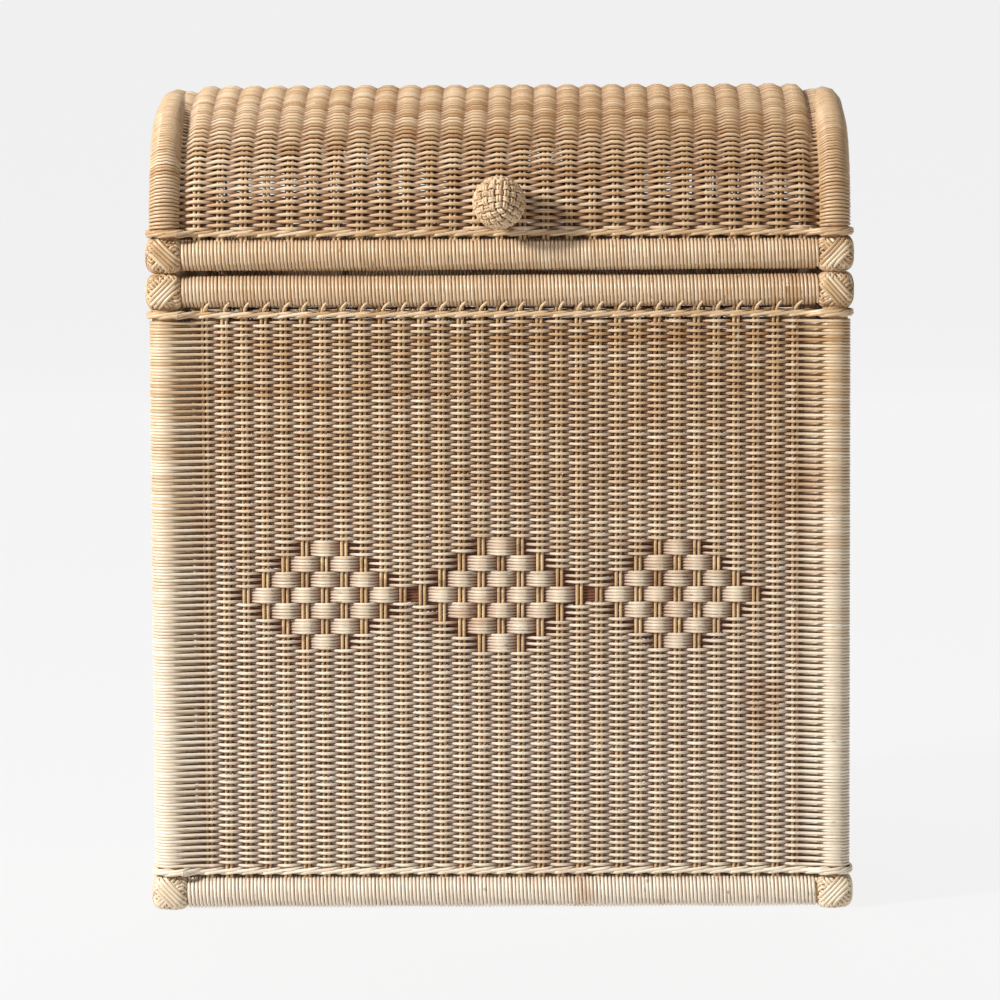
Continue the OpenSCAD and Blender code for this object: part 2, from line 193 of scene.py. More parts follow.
class Tree(Formula):
    def __init__(self, name, inputs):
        super().__init__(bpy.data.node_groups.new(name, "GeometryNodeTree"))
        face = self.tree.interface
        face.new_socket("Geometry", in_out="OUTPUT", socket_type="NodeSocketGeometry")
        for label, value in inputs.items():
            if isinstance(value, str):
                face.new_socket(label, in_out="INPUT", socket_type="NodeSocket" + value)
            else:
                face.new_socket(label, in_out="INPUT", socket_type=KINDS[type(value)]).default_value = value
        self.entry = self.tree.nodes.new("NodeGroupInput")

    def __getitem__(self, label):
        return Value(self, self.entry.outputs[label])

    def lines(self, label="Guide"):
        shape = self.node("GeometryNodeObjectInfo", self[label], out=4)
        return self.node("GeometryNodeMeshToCurve", shape)

    def along(self, guide, length, number=0.0):
        """Place, direction and kept number on a guide, at a distance from its start."""
        place = self.node("GeometryNodeSampleCurve", guide, number, length, mode="LENGTH", out=1)
        return place, place.other("Tangent"), place.other("Value")

    def strands(self, count, samples):
        """Copies of a straight line, to be bent into strands, with each copy's number."""
        line = self.node("GeometryNodeCurvePrimitiveLine", (0, 0, 0), (1, 0, 0))
        line = self.node("GeometryNodeResampleCurve", line, True, samples)
        copies = self.node("GeometryNodeDuplicateElements", line, True, count, domain="SPLINE")
        return copies, copies.other("Duplicate Index"), self.node("GeometryNodeSplineParameter")

    def chance(self, number, seed):
        return self.node("FunctionNodeRandomValue", 0.0, 1.0, number, seed)

    def keep(self, curve, label, value):
        return self.node("GeometryNodeStoreNamedAttribute", curve, True, label, value)

    def reed(self, curve, places, radius, strand, along, scale=1.0, sides=6, inner=0.0):
        """Lays strands at their places, as round reed; strand and along are for the colours, and inner
        marks where painted shade goes on a reed that passes inside the stakes.
        """
        curve = self.keep(self.keep(self.keep(curve, "strand", strand), "along", along), "inner", inner)
        curve = self.node("GeometryNodeSetPosition", curve, True, places)
        return self.thicken(curve, radius, scale, sides)

    def thicken(self, curve, radius, scale=1.0, sides=6):
        circle = self.node("GeometryNodeCurvePrimitiveCircle", sides, radius)
        circle = self.keep(circle, "around", self.node("GeometryNodeSplineParameter"))
        return self.node("GeometryNodeCurveToMesh", curve, circle, scale, True)

    def finish(self, mesh):
        mesh = self.node("GeometryNodeSetShadeSmooth", mesh, True, True)
        mesh = self.node("GeometryNodeRealizeInstances", mesh)
        mesh = self.node("GeometryNodeSetMaterial", mesh, True, self["Material"])
        leave = self.tree.nodes.new("NodeGroupOutput")
        self.plug(mesh, leave.inputs["Geometry"])
        print(self.tree.name, "has", len(self.tree.nodes), "nodes")
        return self.tree


# %% [markdown]
# A tree shows what it makes through a modifier on an object. The result is taken off as a plain
# mesh, so that the finished piece carries no tree, and the guides that it followed are removed.


# %% Guides, and growing a piece from a tree
GUIDES = []


def guide(name, *lines, **facts):
    """Lines of points that a tree can follow; facts are numbers kept at the points."""
    points = [p for line in lines for p in line]
    edges, start = [], 0
    for line in lines:
        edges += [(start + i, start + i + 1) for i in range(len(line) - 1)]
        start += len(line)
    mesh = bpy.data.meshes.new(name)
    mesh.from_pydata(points, edges, [])
    for label, values in facts.items():
        mesh.attributes.new(label, "FLOAT", "POINT").data.foreach_set("value", values)
    GUIDES.append(bpy.data.objects.new(name, mesh))
    bpy.context.scene.collection.objects.link(GUIDES[-1])
    return GUIDES[-1]


def grow(tree, name, body, slot, nodes=(), **inputs):
    carrier = bpy.data.objects.new(name + "_carrier", bpy.data.meshes.new(name + "_empty"))
    bpy.context.scene.collection.objects.link(carrier)
    modifier = carrier.modifiers.new("grow", "NODES")
    modifier.node_group = tree
    for item in tree.interface.items_tree:
        label = item.name.replace(" ", "_").lower()
        if item.in_out == "INPUT" and label in inputs:
            value = inputs.pop(label)
            modifier[item.identifier] = float(value) if item.socket_type == KINDS[float] else value
    if inputs:
        raise ValueError(f"{tree.name} has no input {list(inputs)}")
    graph = bpy.context.evaluated_depsgraph_get()
    mesh = bpy.data.meshes.new_from_object(carrier.evaluated_get(graph), depsgraph=graph)
    for gone in GUIDES + [carrier]:
        bpy.data.objects.remove(gone)
    GUIDES.clear()
    mesh.name = name
    return settle(bpy.data.objects.new(name, mesh), body, slot, nodes)


def settle(piece, body, slot, nodes=()):
    """Links a piece to the scene, gives it its body and hides the parts that it stands for."""
    bpy.context.scene.collection.objects.link(piece)
    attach(piece, body)
    if nodes:
        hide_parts(*nodes)
    print(f"{piece.name}: {sum(len(p.vertices) - 2 for p in piece.data.polygons)} triangles on {body}")
    return piece


# %% [markdown]
# ## The rule of the weave
#
# Rows go over one pair of stakes and under the next, and the next row does the opposite. A
# diamond comes from bands of five rows that all take the same way. The rule gives 1 where the
# reed passes outside a pair and -1 where it passes inside.

# %% Over or under
DIAMOND_STEP = 9  # pairs from the middle of one diamond to the next
DIAMOND_BAND = 5  # rows that take the same way
DIAMOND_HALF = 4  # half width in pairs, and half height in bands


def over_or_under(tree, pair, row):
    plain = 1 - (pair + row) % 2 * 2
    middle_pair = tree["Middle pair"]
    nearest = tree.math("ROUND", (pair - middle_pair) / DIAMOND_STEP) * DIAMOND_STEP + middle_pair
    across = pair - nearest
    band = tree.math("FLOOR", (row - tree["Middle row"]) / DIAMOND_BAND + 0.5)
    away = tree.math("ABSOLUTE", band)
    inside = tree.math("ABSOLUTE", across) + away < DIAMOND_HALF + 0.5
    inside = inside * (away < DIAMOND_HALF - 0.5)
    inside = inside * (tree.math("ABSOLUTE", pair - middle_pair) < tree["Diamond reach"])
    diamond = (across + band) % 2 * 2 - 1
    return tree.mix(inside, plain, diamond)


# %% [markdown]
# Each row is one line of points that swings out and in past the pairs. The rows climb a guide:
# an upright line for a wall, the arch for the lid. Three points to a gap are enough, because
# the reed lies flat across a pair and straight between two pairs.


# %% Tree for the woven rows
def woven_rows():
    tree = Tree("Woven rows", {
        "Guide": "Object", "Along": (1.0, 0.0, 0.0), "Rows": 10, "Pitch": 0.00225, "Gaps": 10,
        "Extra": 0, "Half span": 0.1, "Lift": LIFT, "Reed": REED_R, "Swing": SWING, "Middle pair": 15.0,
        "Middle row": 87.0, "Diamond reach": 0.0, "Dip": 0.0, "Wander": 0.00025, "Seed": 1,
        "Material": "Material",
    })
    every = tree["Gaps"] + tree["Extra"] * 2
    rows, row, step = tree.strands(tree["Rows"], every * 3 + 2)
    index = step.other("Index")
    pair = tree.math("MINIMUM", tree.math("MAXIMUM", index - 0.5, 0.0), every * 3) / 3 - tree["Extra"]
    last, part = tree.math("FLOOR", pair), tree.math("FRACT", pair)
    here, next_one = over_or_under(tree, last, row), over_or_under(tree, last + 1, row)
    side = tree.mix(tree.smooth(part, 0.12, 0.88), here, next_one)

    half = tree.node("GeometryNodeInputNamedAttribute", "half", data_type="FLOAT")
    place, climb, half = tree.along(tree.lines(), (row + 0.5) * tree["Pitch"], half)
    across = (pair / tree["Gaps"] * 2 - 1) * tree["Half span"]
    across = tree.math("MAXIMUM", tree.math("MINIMUM", across, half), half * -1)
    out = tree.math("NORMALIZE", tree.math("CROSS_PRODUCT", tree["Along"], climb))
    settle = tree.smooth(tree.math("ABSOLUTE", across) - tree["Half span"], -0.0, -0.03)
    wander = tree.noise(tree.xyz(across * 14, row * 0.11, tree["Seed"]), 1.0) - 0.5
    fine = tree.noise(tree.xyz(across * 60, row * 3.7, tree["Seed"]), 1.0) - 0.5
    sway = (wander * 6 + fine * 1.3) * settle * tree["Wander"]
    dip = tree.smooth(tree.math("ABSOLUTE", across) - tree["Half span"], 0.0, 0.012) * tree["Dip"]
    spot = place + tree["Along"] * across + out * (tree["Lift"] - dip + side * tree["Swing"]) + climb * sway
    number = tree.chance(row, tree["Seed"])
    thick = tree.chance(row, 77) * 0.12 + 0.99
    # inner marks painted shade: 1 where the reed passes inside a pair of stakes, 0 where it passes outside.
    inner = tree.smooth(side, 0.55, -0.6)
    return tree.finish(tree.reed(rows, spot, tree["Reed"], number, across, thick, inner=inner))


WOVEN = woven_rows()


# %% [markdown]
# Round a post the same rows go on: every second one comes from outside the last pair, the
# others from inside it. So there are two ways round, and the rows take them in turn.


# %% Tree for rows that take turns on two guides
def corner_rows():
    tree = Tree("Corner rows", {
        "Guide": "Object", "Other guide": "Object", "Rows": 10, "Pitch": 0.00225, "Samples": 24,
        "Reed": REED_R, "Seed": 1, "Material": "Material",
    })
    rows, row, factor = tree.strands(tree["Rows"], tree["Samples"])
    spots = [
        tree.node("GeometryNodeSampleCurve", tree.lines(label), 0.0, factor, mode="FACTOR", out=1)
        for label in ("Guide", "Other guide")
    ]
    spot = tree.mix(row % 2, *spots) + tree.xyz(0.0, 0.0, (row + 0.5) * tree["Pitch"])
    number = tree.chance(row, tree["Seed"])
    thick = tree.chance(row, 77) * 0.12 + 0.99
    # inner marks painted shade near the pairs at both ends, stronger on the rows that come from inside the
    # last pair.
    inner = tree.smooth(tree.math("ABSOLUTE", factor - 0.5), 0.3, 0.5) * (row % 2 * 0.75 + 0.25)
    return tree.finish(tree.reed(rows, spot, tree["Reed"], number, factor * 0.07, thick, inner=inner))


CORNER = corner_rows()


# %% [markdown]
# A wrapped pole is one long reed in close turns. The tree walks along the pole and turns round
# it at the same time; the turns lie a little unevenly, as they do by hand.


# %% Tree for a reed wound round a pole
def winding():
    tree = Tree("Winding", {
        "Guide": "Object", "Side": (0.0, 0.0, 1.0), "Length": 0.1, "Pitch": 0.0026, "Radius": 0.0105,
        "Reed": WRAP_R, "Samples": 100, "Seed": 1, "Material": "Material",
    })
    reed, _, factor = tree.strands(1, tree["Samples"])
    turns = factor * tree["Length"] / tree["Pitch"]
    uneven = tree.noise(tree.xyz(turns * 0.9, tree["Seed"], 0.0), 1.0) - 0.5
    place, ahead, _ = tree.along(tree.lines(), factor * tree["Length"])
    out = tree.math("NORMALIZE", tree.math("CROSS_PRODUCT", tree["Side"], ahead))
    angle = turns * math.tau
    radius = tree["Radius"] + uneven * 0.0005
    spot = place + out * (tree.math("COSINE", angle) * radius)
    spot = spot + tree["Side"] * (tree.math("SINE", angle) * radius)
    spot = spot + ahead * (uneven * 0.0009)
    number = tree.noise(tree.xyz(turns * 0.13, tree["Seed"], 7.0), 1.0)
    return tree.finish(tree.reed(reed, spot, tree["Reed"], number, turns * 0.066))


WINDING = winding()


# %% [markdown]
# Bands, lashings and the knob have few strands, each with its own way to go. Their lines are
# worked out point by point, and this tree only gives them their thickness.


# %% Tree for reeds along given lines
def plain_reed():
    tree = Tree("Plain reed", {"Guide": "Object", "Reed": REED_R, "Sides": 6, "Material": "Material"})
    return tree.finish(tree.thicken(tree.lines(), tree["Reed"], 1.0, tree["Sides"]))


PLAIN = plain_reed()


# %% [markdown]
# ## Colours of the reed
#
# Reed is a plant, so no two lengths have the same tone. Each reed keeps its number and the
# distance along it; from these the colour nodes find which length it is, its tone, the fibres
# that run along it and a few dark specks. Broad blotches cross over many reeds. Where a reed passes inside
# the stakes, deep brown is painted on as shade.


# %% Colour helpers
def tone(red, green, blue):
    """A colour given as on a screen, 0 to 255, changed to the amounts of light that nodes mix."""
    linear = [((c / 255 + 0.055) / 1.055) ** 2.4 if c > 10 else c / 3295 for c in (red, green, blue)]
    return (*linear, 1.0)


def ramp(formula, factor, *stops):
    value = formula.node("ShaderNodeValToRGB", factor)
    band = value.socket.node.color_ramp
    while len(band.elements) < len(stops):
        band.elements.new(0.5)
    for element, (place, colour) in zip(band.elements, stops):
        element.position, element.color = place, colour
    return value


def tint(formula, factor, colour, other, way="MIX"):
    node = formula.node("ShaderNodeMix", data_type="RGBA", blend_type=way).socket.node
    for label, value in zip(("Factor", "A", "B"), (factor, colour, other)):
        formula.plug(value, next(s for s in node.inputs if s.enabled and s.name == label))
    return Value(formula, next(s for s in node.outputs if s.enabled))


def material(name, rough, coat=0.0):
    made = bpy.data.materials.new(name)
    made.use_nodes = True
    shader = made.node_tree.nodes["Principled BSDF"]
    shader.inputs["Roughness"].default_value = rough
    shader.inputs["Coat Weight"].default_value = coat
    shader.inputs["Coat Roughness"].default_value = 0.35
    return made, Formula(made.node_tree), shader


def colour_and_bump(formula, shader, colour, height, strength, depth):
    formula.plug(colour, shader.inputs["Base Color"])
    bump = formula.node("ShaderNodeBump")
    node = bump.socket.node
    node.inputs["Strength"].default_value = strength
    node.inputs["Distance"].default_value = depth
    formula.plug(height, node.inputs["Height"])
    formula.plug(bump, shader.inputs["Normal"])


def attribute(formula, label):
    return formula.node("ShaderNodeAttribute", out=2, attribute_name=label)


# %% Reed, in the tones of the lid, the walls and the foot
def reed_material(name, stops, low=None, rough=0.4, spots=1.0, piece_length=0.23):
    """stops are tones from dark to pale; low is a pale tone that takes over towards the floor.
    A new reed joins in at every piece_length."""
    made, f, shader = material(name, rough, 0.2)
    strand, along, around, inner = (attribute(f, label) for label in ("strand", "along", "around", "inner"))
    place = f.node("ShaderNodeTexCoord").other("Object")
    piece = f.math("FLOOR", along / piece_length + strand * 7.3)
    number = f.node("ShaderNodeTexWhiteNoise", f.xyz(strand * 91, piece, 3.0), noise_dimensions="3D")
    drift = f.noise(place, 7.0, 3.0)
    streak = f.noise(f.xyz(along * 9, strand * 53, 5.0), 1.0, 2.0)
    colour = ramp(f, number * 0.46 + streak * 0.5 + drift * 0.5 - 0.23, *stops)
    if low:
        height = place.socket.node.outputs["Object"]
        split = f.node("ShaderNodeSeparateXYZ", Value(f, height), out=2)
        sink = f.smooth(split + drift * 0.09 - 0.045, TOP_Z, 0.1)
        colour = tint(f, sink * 0.66, colour, low)
    fibre = f.noise(f.xyz(along * 26, around * 11 + strand * 40, strand * 13), 1.0, 3.0)
    deeper = tint(f, 1.0, colour, tone(196, 160, 118), "MULTIPLY")
    colour = tint(f, f.smooth(fibre, 0.34, 0.72) * 0.5, colour, deeper)
    stain = f.smooth(f.noise(place, 19.0, 2.0), 0.6, 0.78) * 0.4 * spots
    colour = tint(f, stain, colour, tone(186, 128, 74))
    grain = f.noise(f.xyz(along * 170, around * 3.1 + strand * 60, strand * 17), 1.0, 0.0)
    colour = tint(f, f.smooth(grain, 0.76, 0.86) * 0.6 * spots, colour, tone(92, 56, 30))
    # Painted shade: where the inner attribute is high, the reed is multiplied towards deep brown, as shadow
    # between the stakes.
    shade = tint(f, 1.0, colour, tone(122, 62, 22), "MULTIPLY")
    colour = tint(f, inner * 0.95, colour, shade)
    colour_and_bump(f, shader, colour, fibre, 0.35, 0.0004)
    return made


LID_REED = reed_material("lid_reed", [
    (0.0, tone(142, 98, 58)), (0.3, tone(188, 148, 102)),
    (0.6, tone(218, 190, 152)), (1.0, tone(242, 227, 203)),
])
WALL_REED = reed_material("wall_reed", [
    (0.0, tone(156, 112, 68)), (0.3, tone(204, 166, 118)),
    (0.6, tone(230, 207, 172)), (1.0, tone(248, 237, 217)),
], low=tone(253, 246, 230))
WRAP_REED = reed_material("wrap_reed", [
    (0.0, tone(158, 118, 78)), (0.3, tone(200, 164, 122)),
    (0.6, tone(224, 200, 166)), (1.0, tone(246, 233, 212)),
], low=tone(250, 244, 230), rough=0.36, piece_length=2.6)
PALE_REED = reed_material("pale_reed", [
    (0.0, tone(176, 138, 96)), (0.4, tone(212, 182, 142)), (1.0, tone(240, 222, 192)),
], rough=0.42, spots=0.5)


# %% [markdown]
# The poles are peeled rattan: long fibres along the pole and a darker ring at each knot. Their
# colours come from the place in space, because the frame's poles carry no other numbers.


# %% Poles, stakes, cane and steel
def pole_material(name, dark, pale, scale, rough):
    made, f, shader = material(name, rough, 0.1)
    place = f.node("ShaderNodeTexCoord").other("Object")
    broad = f.noise(place, scale, 3.0)
    fine = f.noise(place, scale * 22, 2.0)
    colour = ramp(f, broad * 0.7 + fine * 0.3, (0.3, dark), (0.62, pale))
    ring = f.smooth(f.noise(place, scale * 3.2, 0.0), 0.66, 0.7) * 0.4
    colour = tint(f, ring, colour, tint(f, 1.0, colour, tone(150, 110, 74), "MULTIPLY"))
    colour_and_bump(f, shader, colour, fine, 0.3, 0.0005)
    return made


POLE = pole_material("peeled_pole", tone(150, 104, 62), tone(206, 170, 122), 14.0, 0.5)
STAKE = pole_material("stake_reed", tone(150, 108, 66), tone(216, 184, 138), 30.0, 0.5)


def cane_material():
    made, f, shader = material("flat_cane", 0.38, 0.25)
    strand, along, around = (attribute(f, label) for label in ("strand", "along", "around"))
    place = f.node("ShaderNodeTexCoord").other("Object")
    fibre = f.noise(f.xyz(along * 14, around * 9 + strand * 31, strand * 5), 1.0, 3.0)
    colour = ramp(f, strand * 0.5 + f.noise(place, 26.0, 2.0) * 0.6 - 0.05,
                  (0.15, tone(164, 124, 82)), (0.5, tone(206, 174, 132)), (0.9, tone(238, 220, 188)))
    height = f.node("ShaderNodeSeparateXYZ", place, out=2)
    colour = tint(f, f.smooth(height, TOP_Z, BOTTOM_Z) * 0.6, colour, tone(246, 232, 206))
    deeper = tint(f, 1.0, colour, tone(190, 146, 100), "MULTIPLY")
    colour = tint(f, f.smooth(fibre, 0.4, 0.7) * 0.4, colour, deeper)
    colour_and_bump(f, shader, colour, fibre, 0.3, 0.0004)
    return made


CANE = cane_material()


def steel_material():
    made, f, shader = material("nail_steel", 0.34)
    place = f.node("ShaderNodeTexCoord").other("Object")
    shader.inputs["Metallic"].default_value = 1.0
    worn = f.noise(place, 240.0, 2.0)
    colour = ramp(f, worn, (0.35, tone(120, 112, 104)), (0.7, tone(176, 172, 166)))
    colour_and_bump(f, shader, colour, worn, 0.15, 0.0002)
    return made


STEEL = steel_material()
# Painted shade: the knob's core is a very dark brown so that the gaps between the knob's reeds look deep in
# shadow.
CORE_SHADE = pole_material("shaded_core", tone(60, 38, 20), tone(92, 62, 36), 30.0, 0.7)
print("materials:", [m.name for m in bpy.data.materials])


# %% [markdown]
# ## The four walls
#
# The rows of a wall climb an upright line in its middle. The front and the back carry three
# diamonds each. A side has room for one, with a cut-off part of a diamond on either hand.

# %% Walls
WALL_ROWS = 175
WALL_PITCH = (WALL_HIGH - WALL_LOW) / WALL_ROWS
FAR = 1.0  # no limit to a row's length
SIDES = {
    "front": ((0, FRONT), (1, 0, 0)),
    "right": ((HALF_X, MID_Y), (0, 1, 0)),
    "back": ((0, BACK), (-1, 0, 0)),
    "left": ((-HALF_X, MID_Y), (0, -1, 0)),
}
for number, (side, ((x, y), way)) in enumerate(SIDES.items()):
    kind = "wall" if side in ("front", "back") else "side"
    line = guide("upright", [(x, y, WALL_LOW), (x, y, WALL_HIGH)], half=[FAR, FAR])
    grow(WOVEN, f"{side}_rows", "trunk", "weaving_reed", [f"weave_{side}"],
         guide=line, along=way, rows=WALL_ROWS, pitch=WALL_PITCH, gaps=GAPS[kind], half_span=SPAN[kind],
         middle_pair=GAPS[kind] / 2, middle_row=WALL_ROWS // 2, diamond_reach=GAPS[kind] / 2 - 1.5,
         seed=number + 3, material=WALL_REED)


# %% [markdown]
# The way round a post is a straight run from the last pair, a quarter turn on the post, and a
# straight run to the first pair of the next side. It is drawn once for a post at the origin
# and turned to each corner.


# %% Rows round the posts
OUTER_NEAR, INNER_NEAR = 0.022, 0.0132  # how far from a post its outer and inner rows turn to it


def round_post(offset, near, turn, centre):
    """Plan of one reed round a post. It passes the last pair at an offset outwards and keeps it
    until it is near the post."""
    reach = HALF_X - SPAN["wall"]
    radius = POLE_R + REED_R
    lean = math.asin(radius / math.hypot(near, offset)) - math.atan2(offset, near)
    points = [(-reach, -offset), (-near, -offset)]
    for step in range(13):
        angle = -math.pi / 2 - lean + (math.pi / 2 + 2 * lean) * step / 12
        points.append((radius * math.cos(angle), radius * math.sin(angle)))
    points += [(offset, near), (offset, reach)]
    cos, sin = math.cos(turn), math.sin(turn)
    return [(centre.x + x * cos - y * sin, centre.y + x * sin + y * cos, WALL_LOW) for x, y in points]


CORNERS = ["front_right", "back_right", "back_left", "front_left"]
for number, place in enumerate(CORNERS):
    centre = middle(f"post_{place}")
    turn = number * math.pi / 2
    lines = [guide("round_post", round_post(LIFT + s * SWING, near, turn, centre))
             for s, near in ((1, OUTER_NEAR), (-1, INNER_NEAR))]
    grow(CORNER, f"post_rows_{place}", "trunk", "wrapping_reed", [f"post_wrap_{place}"],
         guide=lines[0], other_guide=lines[1], rows=WALL_ROWS, pitch=WALL_PITCH, seed=number + 3,
         material=WALL_REED)


# %% [markdown]
# ## Wrapped rails
#
# Every rail is wound from lashing to lashing, and each winding is a piece of its own.

# %% Rail wrapping
WINDING_R = POLE_R + WRAP_R
TURN_SAMPLES = 10
BINDING = 0.0125  # a corner lashing covers this much of a pole's end


def wrap_ring(name, z, body, node, paint, pitch, seed):
    for number, (side, ((x, y), way)) in enumerate(SIDES.items()):
        along = Vector(way)
        half = (HALF_X if side in ("front", "back") else HALF_Y) - BINDING
        line = guide("rail", [Vector((x, y, z)) + along * s for s in (-half, half)])
        grow(WINDING, f"{name}_{side}", body, "wrapping_reed", [node], guide=line,
             length=2 * half, pitch=pitch, radius=WINDING_R, samples=round(2 * half / pitch) * TURN_SAMPLES,
             seed=seed + number, material=paint)


wrap_ring("bottom_wrap", BOTTOM_Z, "trunk", "bottom_rail_wraps", WRAP_REED, 0.00265, 11)
wrap_ring("top_wrap", TOP_Z, "trunk", "top_rail_wraps", WRAP_REED, 0.0026, 21)
wrap_ring("lid_wrap", LID_Z, "lid", "lid_rail_wraps", WRAP_REED, 0.0026, 31)


# %% [markdown]
# ## The domed lid
#
# A lid pole goes straight up from the rail, round a shoulder, over a flatter crown and down
# again. The same line guides the rows of the lid and the winding of its end poles.

# %% The line of the arch
SPRING_Z = LID_Z + BINDING
ARCH_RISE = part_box("lid_arch_left")[1].z - POLE_R - SPRING_Z
CROWN_LIFT = 0.010
SHOULDER_R = ARCH_RISE - CROWN_LIFT
SHOULDER_Y = HALF_Y - SHOULDER_R
SWELL = 0.007  # the weave's crown stands this much higher than the end arches
LID_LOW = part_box("lid_band")[1].z - 0.0012  # the weave starts in the twined band


def crown(rise):
    """Radius of the crown of an arch, the height of its middle, and its turn to the shoulder."""
    radius = (SHOULDER_Y**2 + rise**2 - SHOULDER_R**2) / (2 * (rise - SHOULDER_R))
    return radius, SPRING_Z + rise - radius, math.asin(SHOULDER_Y / (radius - SHOULDER_R))


CROWN_R, CROWN_Z, MEET = crown(ARCH_RISE)
print(f"arch: rise {ARCH_RISE:.4f}, shoulder {SHOULDER_R:.4f}, crown {CROWN_R:.4f}")


def arch_points(x, low=None, swell=0.0):
    """Points from the front foot over the top to the back foot, from a height up."""
    crown_r, crown_z, meet = crown(ARCH_RISE + swell)
    arcs = [
        (-SHOULDER_Y, SPRING_Z, SHOULDER_R, math.pi, math.pi / 2 + meet),
        (0.0, crown_z, crown_r, math.pi / 2 + meet, math.pi / 2 - meet),
        (SHOULDER_Y, SPRING_Z, SHOULDER_R, math.pi / 2 - meet, 0.0),
    ]
    points = []
    for y, z, radius, start, end in arcs:
        for step in range(40):
            angle = start + (end - start) * step / 40
            points.append(Vector((x, MID_Y + y + radius * math.cos(angle), z + radius * math.sin(angle))))
    points.append(Vector((x, BACK, SPRING_Z)))
    if low is None:
        return points
    up = [p for p in points if p.z > low]
    return [Vector((x, up[0].y, low))] + up + [Vector((x, up[-1].y, low))]


def length_of(points):
    return sum((b - a).length for a, b in zip(points, points[1:]))


# %% Rows over the lid
LID_REED_R = 0.00136
lid_line = arch_points(0.0, LID_LOW, SWELL)
lid_length = length_of(lid_line)
LID_ROWS = round(lid_length / 0.0023)
inner = HALF_X - POLE_R * 0.6
grow(WOVEN, "lid_rows", "lid", "weaving_reed", ["lid_top_weave"],
     guide=guide("arch", lid_line, half=[inner] * len(lid_line)), rows=LID_ROWS,
     pitch=lid_length / LID_ROWS, gaps=GAPS["lid"], extra=1, half_span=SPAN["lid"], reed=LID_REED_R,
     swing=1.08 * (STAKE_R + LID_REED_R), dip=0.004, seed=41, material=LID_REED)


# %% Rows in the lid's ends, each as long as the arch lets it be
def half_width(z):
    """Half of the arch's width at a height, on the poles' middle line."""
    up = z - SPRING_Z
    if up < SHOULDER_R * math.cos(MEET):
        return SHOULDER_Y + math.sqrt(max(0.0, SHOULDER_R**2 - up * up))
    return math.sqrt(max(0.0, CROWN_R**2 - (z - CROWN_Z) ** 2))


END_ROWS = int((SPRING_Z + ARCH_RISE - POLE_R * 0.4 - LID_LOW) / WALL_PITCH)
heights = [LID_LOW + i * WALL_PITCH / 2 for i in range(2 * END_ROWS + 1)]
for side, sign in (("left", -1), ("right", 1)):
    line = guide("end", [(sign * HALF_X, MID_Y, z) for z in heights],
                 half=[max(0.004, half_width(z) - POLE_R * 0.5) for z in heights])
    grow(WOVEN, f"lid_end_rows_{side}", "lid", "weaving_reed", [f"lid_end_weave_{side}"],
         guide=line, along=(0, sign, 0), rows=END_ROWS, pitch=WALL_PITCH, gaps=GAPS["side"], extra=2,
         half_span=SPAN["side"], seed=43 + sign, material=LID_REED)

# %% End poles, wound from foot to foot
for side, sign in (("left", -1), ("right", 1)):
    points = arch_points(sign * HALF_X, LID_LOW)
    span = length_of(points)
    grow(WINDING, f"arch_wrap_{side}", "lid", "wrapping_reed", [f"lid_arch_wrap_{side}"],
         guide=guide("arch", points), side=(1, 0, 0), length=span, pitch=0.0024, radius=WINDING_R,
         reed=0.00112, samples=round(span / 0.0024) * TURN_SAMPLES, seed=51 + sign, material=LID_REED)


# %% [markdown]
# ## The base
#
# The base is woven like a wall that lies flat, on two poles that run under it.

# %% Base rows
low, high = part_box("base_weave")
base_z = (low.z + high.z) / 2
base_rows = int((high.y - low.y) / 0.0024)
line = guide("base", [(0, low.y, base_z), (0, high.y, base_z)], half=[FAR, FAR])
grow(WOVEN, "base_rows", "trunk", "weaving_reed", ["base_weave"],
     guide=line, rows=base_rows, pitch=(high.y - low.y) / base_rows, gaps=GAPS["base"], extra=1, lift=0.0,
     half_span=SPAN["base"], seed=61, material=WALL_REED)


# %% [markdown]
# ## Twined bands
#
# Three reeds close the weave at the top and the bottom of the body and at the foot of the lid.
# Each climbs over two pairs and drops behind the third, a third of a turn after its neighbour,
# so the band looks like a rope. All three run round the trunk and meet their own beginnings.


# %% Bands
def plan_of_band():
    """Points round the trunk with the way outwards, and how far a strand may swing there."""
    ring = POLE_R + 0.0021
    points = []
    centres = [middle(f"post_{place}") for place in CORNERS]
    for number, ((x, y), way) in enumerate(SIDES.values()):
        along, out = Vector(way), Vector((way[1], -way[0], 0))
        half = HALF_X if number % 2 == 0 else HALF_Y
        for step in range(-40, 41):
            a = step / 40 * (half - 0.010)
            near = max(0.0, 1 - (half - abs(a) - 0.010) / 0.018)
            lift = LIFT + (ring - LIFT) * near * near
            points.append((Vector((x, y, 0)) + along * a + out * lift, out, SWING * (1 - 0.6 * near)))
        for step in range(7):
            angle = -math.pi / 2 + number * math.pi / 2 + step / 6 * math.pi / 2
            out = Vector((math.cos(angle), math.sin(angle), 0))
            centre = Vector((centres[number].x, centres[number].y, 0))
            points.append((centre + out * ring, out, SWING * 0.4))
    points.append(points[0])
    return points


PLAN = plan_of_band()
PLAN_LENGTHS = np.concatenate([[0], np.cumsum([(b[0] - a[0]).length for a, b in zip(PLAN, PLAN[1:])])])
BAND_PAIRS = 3  # a strand's pattern repeats after three pairs
BAND_TURNS = round(PLAN_LENGTHS[-1] / (0.014 * BAND_PAIRS))
BAND_SAMPLES = BAND_TURNS * 14


